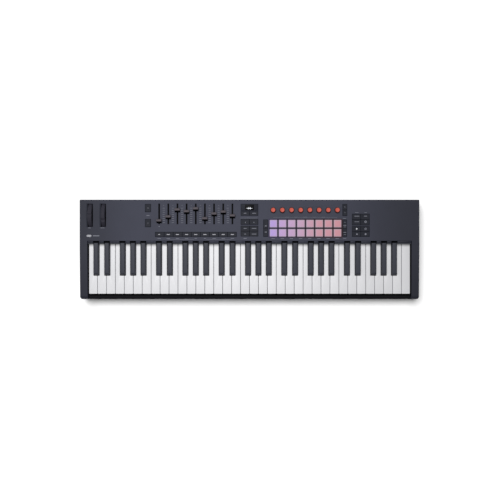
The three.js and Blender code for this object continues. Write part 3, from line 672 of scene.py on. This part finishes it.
def faderPiece(number):
    # The cap's section in Y and Z, carried along X. The grip stands at the rear, its top a parabola
    # with a thin groove; a slope falls from it to the front, its black a painted shade.
    node = f"fader_cap_{number}"
    low, high = boxOf(node)
    x, middle, top, foot = (low[0] + high[0]) / 2, (low[1] + high[1]) / 2, high[2], fader["foot"]
    half, front = (high[1] - low[1]) / 2, fader["gripFront"]
    y = np.linspace(half - fader["waist"], front, 17)
    across = (y - front) / (half - fader["waist"] - front)
    groove = np.abs(across - 0.5) < fader["grooveHalf"]
    dip = 4 * fader["dish"] * across * (1 - across) + fader["groove"] * groove
    crest = np.column_stack([y, top - dip])
    wall = [(front, foot), (half, foot), (half, foot + fader["gripWall"])]
    grip = np.concatenate([wall, crest]) + (middle, 0)
    fall = np.linspace(0, 1, 9)
    start = front + fader["rampGap"]
    slope = np.column_stack([start + (-half - start) * fall, top - fader["rampTop"]
                             - (top - foot - fader["rampFoot"]) * fall ** fader["rampPower"]])
    ramp = np.concatenate([[(-half, foot), (start, foot)], slope]) + (middle, 0)
    stem = rectangle(x - lever["halfX"], x + lever["halfX"], middle - lever["halfY"],
                     middle + lever["halfY"], lever["corner"], 3)
    stemProfile = [(lever["chamfer"], lever["foot"]), (0, lever["foot"] + lever["chamfer"]), (0, foot + 1)]
    piece(f"fader_{number}", [rounded(grip, low[0], high[0], fader["gripEdge"], "x")], faderPlastic,
          node, [node], 30)
    piece(f"fader_front_{number}", [rounded(ramp, low[0], high[0], fader["rampEdge"], "x")],
          shadeBlack, node, smooth=30)
    piece(f"fader_lever_{number}", [moulding(stem, stemProfile)], platedSteel, node)


for number in range(1, 10):
    faderPiece(number)

# Black lips lie along both sides of each slot, as painted shade that darkens and widens the slot
faderXs = [middleX(f"fader_cap_{number}") for number in range(1, 10)]
shadeLips = []
for x in faderXs:
    for side in (-slotLip["beside"], slotLip["beside"]):
        shadeLips.append(moulding(rectangle(x + side - slotLip["half"], x + side + slotLip["half"],
                                           *slotLip["y"], slotLip["corner"], 3), flush))
piece("fader_shade_lips", shadeLips, shadeBlack, "case")
print("faders made")


# The knobs

knob = {"foot": 65, "sides": 96, "flutes": 24, "fluteDepth": 0.28, "dish": 0.7, "shaft": 3, "shaftFoot": 56,
        "grip": 6.1, "taper": 0.35, "gripFoot": 2.4, "gripTop": 1.6, "edge": 1.1, "skirt": 7.4,
        "skirtEdge": 0.3, "hole": 0.2, "bowl": (0.93, 0.8, 0.6, 0.4, 0.2, 0.03)}


def knobPiece(number):
    # A skirt in dark red, which is painted shade of the knob's foot, and a grip: a profile of (radius,
    # height, flute) turned about Z, where flute says how much of the wavy grip shows:
    # radius - flute * depth * (1 + cos(flutes * angle)) / 2
    node = f"knob_{number}"
    low, high = boxOf(node)
    x, y, top, foot = (low[0] + high[0]) / 2, (low[1] + high[1]) / 2, high[2], knob["foot"]
    wide, skirt, hole, edge = knob["grip"], knob["skirt"], knob["hole"], knob["edge"]
    profile = [(hole, foot + 1, 0), (wide, foot + 1, 0)]
    profile += [(wide - knob["taper"] * share, height, 1) for share, height in
                zip(np.linspace(0, 1, 5), np.linspace(foot + knob["gripFoot"], top - knob["gripTop"], 5))]
    bowl = wide - knob["taper"] - edge
    for angle in np.linspace(0, np.pi / 2, 6):
        fade = 1 - angle / 1.6  # the flutes run out over the rounded edge
        profile.append((bowl + edge * math.cos(angle), top - edge + edge * math.sin(angle), fade))
    profile += [(bowl * share, top - knob["dish"] * (1 - share ** 2), 0) for share in knob["bowl"]]
    radius, height, flute = np.array(profile).T
    turn = np.linspace(0, 2 * np.pi, knob["sides"], endpoint=False)
    wave = (1 + np.cos(knob["flutes"] * turn)) / 2
    reach = radius[:, None] - knob["fluteDepth"] * flute[:, None] * wave[None]
    rings = np.stack([x + reach * np.cos(turn), y + reach * np.sin(turn),
                      np.broadcast_to(height[:, None], reach.shape)], axis=-1)
    base = turned([(hole, knob["shaftFoot"]), (knob["shaft"], knob["shaftFoot"]), (knob["shaft"], foot),
                   (skirt, foot), (skirt, foot + 1), (skirt - knob["skirtEdge"], foot + knob["gripTop"]),
                   (wide - 0.5, foot + 2), (hole, foot + 2)], 64, (x, y, 0))
    piece(f"knob_cap_{number}", [stackRings(rings)], knobRubber, node, [node], 50)
    piece(f"knob_skirt_{number}", [base], shadedKnobRed, node, smooth=50)


for number in range(1, 9):
    knobPiece(number)
print("knobs made")


# The pads

pads = {"size": 20, "web": 1.5, "columns": 8, "mat": 1.2, "corner": 1.2, "edge": 0.9, "crown": 0.25,
        "sink": 0.2, "webCorner": 2, "webEdge": 0.3, "rimStart": 0.72, "rimWidth": 0.24, "glow": 0.1}
grid = {"clear": 0.7, "reach": 0.8, "corner": 0.3, "edge": 0.05, "z": (panelZ - 0.1, panelZ + 0.15)}
padColours = [(0, (166, 141, 210)), (0.2, (182, 148, 196)), (0.42, (186, 149, 179)),
              (0.56, (190, 143, 164)), (0.7, (195, 137, 151)), (1, (194, 130, 141))]
# Colours of the grid: painted shade between the pads, tinted by painted glow of their lamps.
gridColours = [(0, (40, 26, 74)), (0.5, (44, 22, 42)), (1, (56, 16, 24))]


def colourRamp(tree, place, left, right, colours):
    # Colours that follow one another along X
    share = mapRange(tree, along(tree, place, "X"), left * mm, right * mm)
    ramp = newNode(tree, "ValToRGB", Fac=share.outputs["Result"])
    ramp.color_ramp.elements[1].position = 1
    for position, _ in colours[1:-1]:
        ramp.color_ramp.elements.new(position)
    for element, (position, colour) in zip(ramp.color_ramp.elements, colours):
        element.color = tone(*colour)
    return ramp.outputs["Color"]


def litSilicone(left, right):
    # Milky silicone over lamps, which show through least at the rim of each pad
    material, tree, place, shader = newMaterial("pad_silicone")
    colour = colourRamp(tree, place, left, right, padColours)
    rim = newNode(tree, "Attribute")
    rim.attribute_name = "rim"
    lamp = mixed(tree, rim.outputs["Fac"], colour, tone(168, 156, 170))
    fine = noise(tree, place, 0.5, 3)
    painted(tree, shader, fine, 0.06, lamp, (0.5, 0.5, 0.5, 1))
    fill(tree, shader, Emission_Color=colour, Emission_Strength=pads["glow"])
    surfaced(tree, shader, fine, 0.5, 0.62, 0.01)
    return material


def glowShadeGrid(left, right):
    # The dark grid between the pads: painted shade in the gaps, tinted with painted glow of the pads' lamps
    material, tree, place, shader = newMaterial("pad_grid")
    colour = colourRamp(tree, place, left, right, gridColours)
    fine = noise(tree, place, 0.5, 3)
    painted(tree, shader, fine, 0.15, colour, black)
    surfaced(tree, shader, fine, 0.6, 0.7, 0.01)
    return material


def padPieces():
    low, high = boxOf("pad_mat")
    margin = pads["web"] + pads["size"] / 2
    pitch = (high[0] - low[0] - 2 * margin) / (pads["columns"] - 1)
    silicone = litSilicone(low[0], high[0])
    web = rounded(rectangle(low[0], high[0], low[1], high[1], pads["webCorner"]), low[2],
                  low[2] + pads["mat"], pads["webEdge"])
    piece("pad_web", [web], matRubber, "pad_mat", ["pad_mat"])
    half = pads["size"] / 2
    for column in range(pads["columns"]):
        for row, y in enumerate((low[1] + margin, high[1] - margin)):
            x = low[0] + margin + column * pitch
            shell = cap((x - half, x + half), (y - half, y + half),
                        (low[2] + pads["mat"] - pads["sink"], high[2]),
                        pads["corner"], pads["edge"], pads["crown"], 6)
            pad = piece(f"pad_{row + 1}_{column + 1}", [shell], silicone, "pad_mat")
            outward = np.abs(shell[0] - (x, y, 0))[:, :2].max(axis=1) / half
            rim = np.clip((outward - pads["rimStart"]) / pads["rimWidth"], 0, 1)
            attribute = pad.data.attributes.new("rim", "FLOAT", "POINT")
            attribute.data.foreach_set("value", rim.astype(np.float32))
    # The grid: one line between every two columns, then three along X and one at either end
    gap = (pitch - pads["size"]) / 2 - grid["clear"]
    reach = gap * grid["reach"]
    inset = pads["web"] - grid["clear"]
    x0, x1, y0, y1 = low[0] + inset, high[0] - inset, low[1] + inset, high[1] - inset
    columns = low[0] + margin + pitch * (np.arange(pads["columns"] - 1) + 0.5)
    spans = [(x - gap, x + gap, y0 - reach, y1 + reach) for x in columns]
    spans += [(x0 - reach, x1 + reach, y - reach, y + reach)
              for y in (y0 - reach, (low[1] + high[1]) / 2, y1 + reach)]
    spans += [(x - reach, x + reach, y0 - reach, y1 + reach) for x in (x0 - reach, x1 + reach)]
    lines = [rounded(rectangle(*span, grid["corner"]), *grid["z"], grid["edge"]) for span in spans]
    piece("pad_grid", lines, glowShadeGrid(low[0], high[0]), "case")


padPieces()
print("pads made")


# The push buttons. Each window holds columns by rows of caps: (x, y, columns, rows)

buttonWindows = {
    "octave_buttons": [((-274.2, -258.8), (98.3, 119.3), 1, 1), ((-274.2, -258.8), (58.9, 79.9), 1, 1)],
    "fader_buttons": [((-247.9, -33.8), (33.2, 46), 9, 1)],
    "display_buttons": [((-22.8, 22.8), (89, 100.6), 2, 1)],
    "centre_buttons": [((-22.8, 22.8), (65.3, 80.1), 2, 1), ((-22.8, 22.8), (34.4, 62.1), 2, 2)],
    "pad_left_buttons": [((36.3, 48.4), (33.6, 78.5), 1, 2)],
    "pad_right_buttons": [((244.2, 255.8), (33.6, 78.5), 1, 2)],
    "page_buttons": [((244.2, 256.3), (88.3, 119.2), 1, 2)],
    "transport_buttons": [((269.2, 315.1), (63.8, 93.5), 2, 2), ((269.2, 315.1), (33.7, 61.2), 2, 2)],
}
button = {"gap": 0.4, "corner": 0.9, "edge": 0.5, "crown": -0.25, "mat": 1.2, "sink": 0.2,
          "webCorner": 0.6, "webEdge": 0.2}


def buttonCaps(x, y, columns, rows):
    width = (x[1] - x[0] - button["gap"]) / columns
    depth = (y[1] - y[0] - button["gap"]) / rows
    for column in range(columns):
        for row in range(rows):
            left = x[0] + button["gap"] + column * width
            front = y[0] + button["gap"] + row * depth
            yield (left, left + width - button["gap"]), (front, front + depth - button["gap"])


for node, windows in buttonWindows.items():
    low, high = boxOf(node)
    matTop = low[2] + button["mat"]
    web = rounded(rectangle(low[0], high[0], low[1], high[1], button["webCorner"]), low[2], matTop,
                  button["webEdge"])
    shells = [cap(x, y, (matTop - button["sink"], high[2]), button["corner"], button["edge"],
                  button["crown"]) for window in windows for x, y in buttonCaps(*window)]
    piece(f"{node}_caps", shells, buttonPlastic, node, [node])
    piece(f"{node}_web", [web], matRubber, node)
print("buttons made")


# Printed marks: thin closed shapes lying on the panel or on the caps

mark = {"sink": 0.02, "height": 0.06, "corner": 0.35}
buttonTop = boxOf("fader_buttons")[1][2]


def flat(outline, z):
    return moulding(outline, [(0, z - mark["sink"]), (0, z + mark["height"])])


def bar(x, y, width, depth, z=panelZ):
    corner = min(width, depth) * mark["corner"]
    return flat(rectangle(x - width / 2, x + width / 2, y - depth / 2, y + depth / 2, corner, 3), z)


def disc(x, y, diameter, z=panelZ):
    return flat(circle(diameter / 2, 24, x, y), z)


def ring(x, y, diameter, line, z=panelZ):
    inner, outer, low, high = diameter / 2 - line, diameter / 2, z - mark["sink"], z + mark["height"]
    return turned([(inner, high), (inner, low), (outer, low), (outer, high)], 32, (x, y, 0), loop=True)


def arrow(x, y, width, depth, z=panelZ):
    corners = [(x - width / 2, y - depth / 2), (x + width / 2, y), (x - width / 2, y + depth / 2)]
    return flat(outlineOf(corners, width * 0.08, 3), z)


knobXs = [middleX(f"knob_{number}") for number in range(1, 9)]
scale = {"ys": np.linspace(70.8, 108.6, 8), "tick": (6, 0.7), "topY": 115.4, "topTick": (2.5, 0.6)}
panelMarks = []
for left, right in zip(faderXs, faderXs[1:]):
    # Scale ticks stand midway between the fader slots
    panelMarks += [bar((left + right) / 2, y, *scale["tick"]) for y in scale["ys"]]
    panelMarks.append(bar((left + right) / 2, scale["topY"], *scale["topTick"]))
panelMarks += [bar(*place) for place in (
    (-420, 56.8, 7, 1.1), (-386, 56.8, 11, 1.1), (-266.4, 89.4, 8, 1.3), (faderXs[0], 60.6, 3.5, 1.2),
    (-1.8, 82.7, 44, 0.5), (-8, 82.7, 10, 1.2), (9, 82.7, 8, 1.2), (-11.7, 29.2, 8, 1.3),
    (281.6, 97, 9, 0.9), (304.5, 97, 7, 0.9), (249, 81.6, 8, 0.9), (249.6, 29, 8, 0.9),
    ((knobXs[0] + knobXs[-1]) / 2, 84.4, knobXs[-1] - knobXs[0], 0.35),
)]
panelMarks += [bar(x, 29, 6 if number in (5, 6) else 9, 1) for number, x in enumerate(faderXs, 1)]
panelMarks += [bar(-180, 26.6, 70, 0.4), bar(-80, 26.6, 66, 0.4)]
panelMarks += [bar((a + b) / 2, 84.6, 9, 1.1) for a, b in list(zip(knobXs, knobXs[1:]))[1:6]]
panelMarks += [bar(x, 28.9, 9, 1) for x in knobXs]
piece("panel_print", panelMarks, ink, "case")
emblem = {"x": -426.5, "pitch": 2.6, "y": 36, "width": 1.5, "heights": (3, 6.5, 4.5, 6.5, 3)}
emblemBars = [bar(emblem["x"] + emblem["pitch"] * i, emblem["y"], emblem["width"], height)
              for i, height in enumerate(emblem["heights"])]
piece("panel_emblem", emblemBars, brightInk, "case")
piece("panel_line", [bar(-402.5, 36, 17, 2.2)], ink, "case")

# The marks on the caps, each a shape with its place and size
capMarks = {
    "octave_buttons": [(bar, -266.5, 108.8, 3, 1), (bar, -266.5, 108.8, 1, 3), (bar, -266.5, 69.4, 3, 1)],
    "display_buttons": [(bar, -11.7, 95.3, 7, 1.4), (bar, 12, 95.3, 10, 1.4)],
    "centre_buttons": [(arrow, 12, 71.2, 2, 4), (arrow, -11, 71.2, -2, 4),
                       (bar, -11.5, 55.6, 8, 1.4), (bar, 12, 55.6, 12, 1.4),
                       (bar, -11.5, 40.6, 5, 1.4), (bar, 12, 40.6, 12, 1.4)],
    "pad_left_buttons": [(bar, 42.8, 62, 5.6, 1.9), (bar, 42.8, 45.9, 6, 1.7)],
    "pad_right_buttons": [(bar, 250, 71.6, 5, 0.7), (bar, 250, 63.7, 8, 1.3), (bar, 250, 59.3, 7, 0.9),
                          (bar, 250, 45, 7, 1.3), (bar, 250, 39.2, 6, 0.8)],
    "page_buttons": [(arrow, 250.2, 111.7, 2, 3), (arrow, 250.2, 96.9, -2, 3)],
    "transport_buttons": [(bar, 281.5, 87.6, 13, 1.5), (bar, 304.5, 87.6, 8, 1.5),
                          (bar, 281.5, 72.9, 12, 1.3), (ring, 304.5, 72.9, 6, 1.6),
                          (ring, 304.5, 54.4, 5.4, 1.2), (bar, 281.9, 40.4, 4.4, 3.4),
                          (disc, 304.5, 40.4, 4.8)],
}
for node, marks in capMarks.items():
    shells = [shape(*sizes, buttonTop) for shape, *sizes in marks]
    piece(f"{node}_print", shells, ink, node)
playMark = arrow(281.9, 54.4, 4.4, 5.4, buttonTop)
piece("play_print", [playMark], brightInk, "transport_buttons")


def litLens(name, colour, strength):
    # A small lit window of fine diffusing grain
    material, tree, place, shader = newMaterial(name)
    fine = noise(tree, place, 0.6, 2)
    for socket, darkest in (("Base_Color", 0.85), ("Emission_Color", 0.9)):
        painted(tree, shader, fine, 1, shaded(colour, darkest), colour, socket)
    fill(tree, shader, Emission_Strength=strength, Roughness=mapped(tree, fine, 0.3, 0.4))
    return material


lensLight = litLens("button_light", tone(150, 150, 158), 0.15)
lamp = {"y": (38.4, 40.4), "corner": 0.6, "z": (buttonTop - 0.3, buttonTop + 0.12), "edge": 0.08,
        "firstHalf": 2.4, "half": 4.2}
lampHalves = [lamp["firstHalf"]] + [lamp["half"]] * (len(faderXs) - 1)
lamps = [rounded(rectangle(x - half, x + half, *lamp["y"], lamp["corner"]), *lamp["z"], lamp["edge"])
         for x, half in zip(faderXs, lampHalves)]
piece("fader_button_lights", lamps, lensLight, "fader_buttons")
print("prints made")


# The display

display = {"corner": 0.8, "foot": 60, "edge": 0.4, "recess": 0.15, "holderHalf": 17, "holderTop": 61,
           "screenHalf": 11.8, "screenY": (103.2, 117.8), "screenFoot": 62, "graphHalf": 8.6,
           "graphY": (105.4, 111), "bars": 23, "barWidth": 0.5, "barDepth": 0.6}


def displayPieces():
    # The picture on the screen is a plain level meter: bars whose height is
    # |sin(1.5 * turn)| * cos(turn / 2)^2 for turn from -pi to pi
    low, high = boxOf("display_module")
    lensTop = high[2]
    window = rectangle(low[0], high[0], low[1], high[1], display["corner"])
    bezel = moulding(window, [(0, display["foot"])]
                     + roundedEdge(display["edge"], lensTop - display["recess"]))
    half = display["holderHalf"]
    holder = moulding(rectangle(-half, half, low[1] + 1, high[1] - 1, 0.5),
                      [(0, low[2]), (0, display["holderTop"])])
    piece("display_bezel", [bezel, holder], buttonPlastic, "case", ["display_module"])
    half = display["screenHalf"]
    glass = moulding(rectangle(-half, half, *display["screenY"], 0.5),
                     [(0, display["screenFoot"])] + roundedEdge(display["recess"], lensTop))
    piece("display_glass", [glass], screenGlass, "case")
    turns = np.linspace(-np.pi, np.pi, display["bars"])
    heights = np.abs(np.sin(1.5 * turns)) * np.cos(turns / 2) ** 2
    xs = np.linspace(-display["graphHalf"], display["graphHalf"], len(turns))
    y0, y1 = display["graphY"]
    bars = [bar(x, (y0 + y1) / 2, display["barWidth"], display["barDepth"] + (y1 - y0) * height, lensTop)
            for x, height in zip(xs, heights)]
    piece("display_picture", bars, litLens("screen_light", tone(225, 229, 236), 0.5), "case")


displayPieces()
print("display made")


# Finishes of the CAD pieces that stay as they are

board = {"green": tone(30, 74, 48), "black": tone(5, 5, 7), "cell": 5, "margin": 0.05, "specular": 0.06,
         "thickness": 1.6, "contactTop": 19.6}


def circuitBoard(name, boardTop):
    # Green lacquer over a copper pattern of straight-edged cells; what stands above the board's top
    # is the black plastic of the parts soldered to it
    material, tree, place, shader = newMaterial(name)
    cells = newNode(tree, "TexVoronoi", Scale=1 / (board["cell"] * mm), Vector=place)
    cells.distance = "MANHATTAN"
    cells.feature = "F1"
    pattern = mapped(tree, cells.outputs["Distance"], 0, 1)
    tracks = mixed(tree, pattern, shaded(board["green"], 1.5), board["green"])
    height = along(tree, place, "Z")
    above = newNode(tree, "Math")
    above.operation = "GREATER_THAN"
    above.inputs[1].default_value = (boardTop + board["margin"]) * mm
    tree.links.new(height, above.inputs[0])
    fill(tree, shader, Base_Color=mixed(tree, above.outputs["Value"], tracks, board["black"]),
         Specular_IOR_Level=board["specular"])
    fill(tree, shader, Roughness=mapped(tree, noise(tree, place, 0.5), 0.4, 0.5))
    bumped(tree, shader, cells.outputs["Distance"], 0.02)
    return material


def keep(node, material):
    for materialSlot in nodes[node].material_slots:
        materialSlot.material = material


controlTop = boxOf("control_board")[0][2] + board["thickness"]
keep("control_board", circuitBoard("control_board", controlTop))
keep("contact_board", circuitBoard("contact_board", board["contactTop"]))
keep("keybed_frame", moulded("zinc_sheet", tone(150, 152, 156), 0.42, grain=6, depth=0.01, mottle=0.2,
                             Metallic=1))
keep("wheel_bracket", platedSteel)
keep("usb_socket", platedSteel)
keep("midi_socket", trayPlastic)
keep("pedal_jack", trayPlastic)


# The table, the lights and the camera

studio = {"table": 6, "sunTilt": (-0.11, 0.24, 1), "sunAngle": 15, "sun": 2,
          "tableTilt": (-0.19, 0.27, 1), "tableAngle": 36, "tableSun": 3.7,
          "softPlace": (-0.1, -0.04, 0.72), "softSize": (0.5, 0.4), "soft": 1.1, "sky": 0.14}
view = {"lens": 64, "sensor": 36, "height": 2.3328, "aim": (0.0013, -0.0012)}


def makeTable():
    half = studio["table"] / 2
    mesh = bpy.data.meshes.new("table")
    corners = [(-half, -half, 0), (half, -half, 0), (half, half, 0), (-half, half, 0)]
    mesh.from_pydata(corners, [], [(0, 1, 2, 3)])
    table = added("table", mesh)
    pale = (0.92, 0.92, 0.92, 1)
    mesh.materials.append(moulded("table_top", pale, 0.9, grain=4, depth=0.01, mottle=0.005))
    return table


def shines(light, table, onTable):
    # A light either shines on the table alone or on everything else
    lit = bpy.data.collections.new(f"{light.name}_lit")
    lit.objects.link(table)
    light.light_linking.receiver_collection = lit
    lit.collection_objects[0].light_linking.link_state = "INCLUDE" if onTable else "EXCLUDE"


def makeLight(name, kind, energy):
    lamp = bpy.data.lights.new(name, kind)
    lamp.energy = energy
    return lamp, added(name, lamp)


def makeSun(name, strength, tilt, angle):
    lamp, sun = makeLight(name, "SUN", strength)
    lamp.angle = math.radians(angle)
    x, y, z = tilt
    sun.rotation_euler = (-math.atan2(y, z), math.atan2(x, z), 0)
    return sun


def makeSoftLight():
    lamp, light = makeLight("soft_light", "AREA", studio["soft"])
    lamp.shape = "RECTANGLE"
    lamp.size, lamp.size_y = studio["softSize"]
    light.location = studio["softPlace"]
    return light


def makeSky():
    # Lights come from a grey sky, and the camera sees a white one
    world = bpy.data.worlds.new("studio")
    bpy.context.scene.world = world
    world.use_nodes = True
    tree = world.node_tree
    white = (1, 1, 1, 1)
    light = tree.nodes["Background"]
    fill(tree, light, Color=white, Strength=studio["sky"])
    seen = newNode(tree, "Background", Color=white)
    path = newNode(tree, "LightPath")
    mix = newNode(tree, "MixShader", Fac=path.outputs["Is Camera Ray"])
    tree.links.new(light.outputs["Background"], mix.inputs[1])
    tree.links.new(seen.outputs["Background"], mix.inputs[2])
    tree.links.new(mix.outputs["Shader"], tree.nodes["World Output"].inputs["Surface"])


def makeCamera():
    data = bpy.data.cameras.new("camera")
    data.lens = view["lens"]
    data.sensor_width = view["sensor"]
    camera = added("camera", data)
    camera.location = (*view["aim"], view["height"] + panelZ * mm)
    bpy.context.scene.camera = camera


table = makeTable()
shines(makeSun("key_sun", studio["sun"], studio["sunTilt"], studio["sunAngle"]), table, False)
shines(makeSun("table_sun", studio["tableSun"], studio["tableTilt"], studio["tableAngle"]), table, True)
shines(makeSoftLight(), table, False)
makeSky()
makeCamera()
bpy.context.scene.view_settings.view_transform = "Standard"
print("studio made")
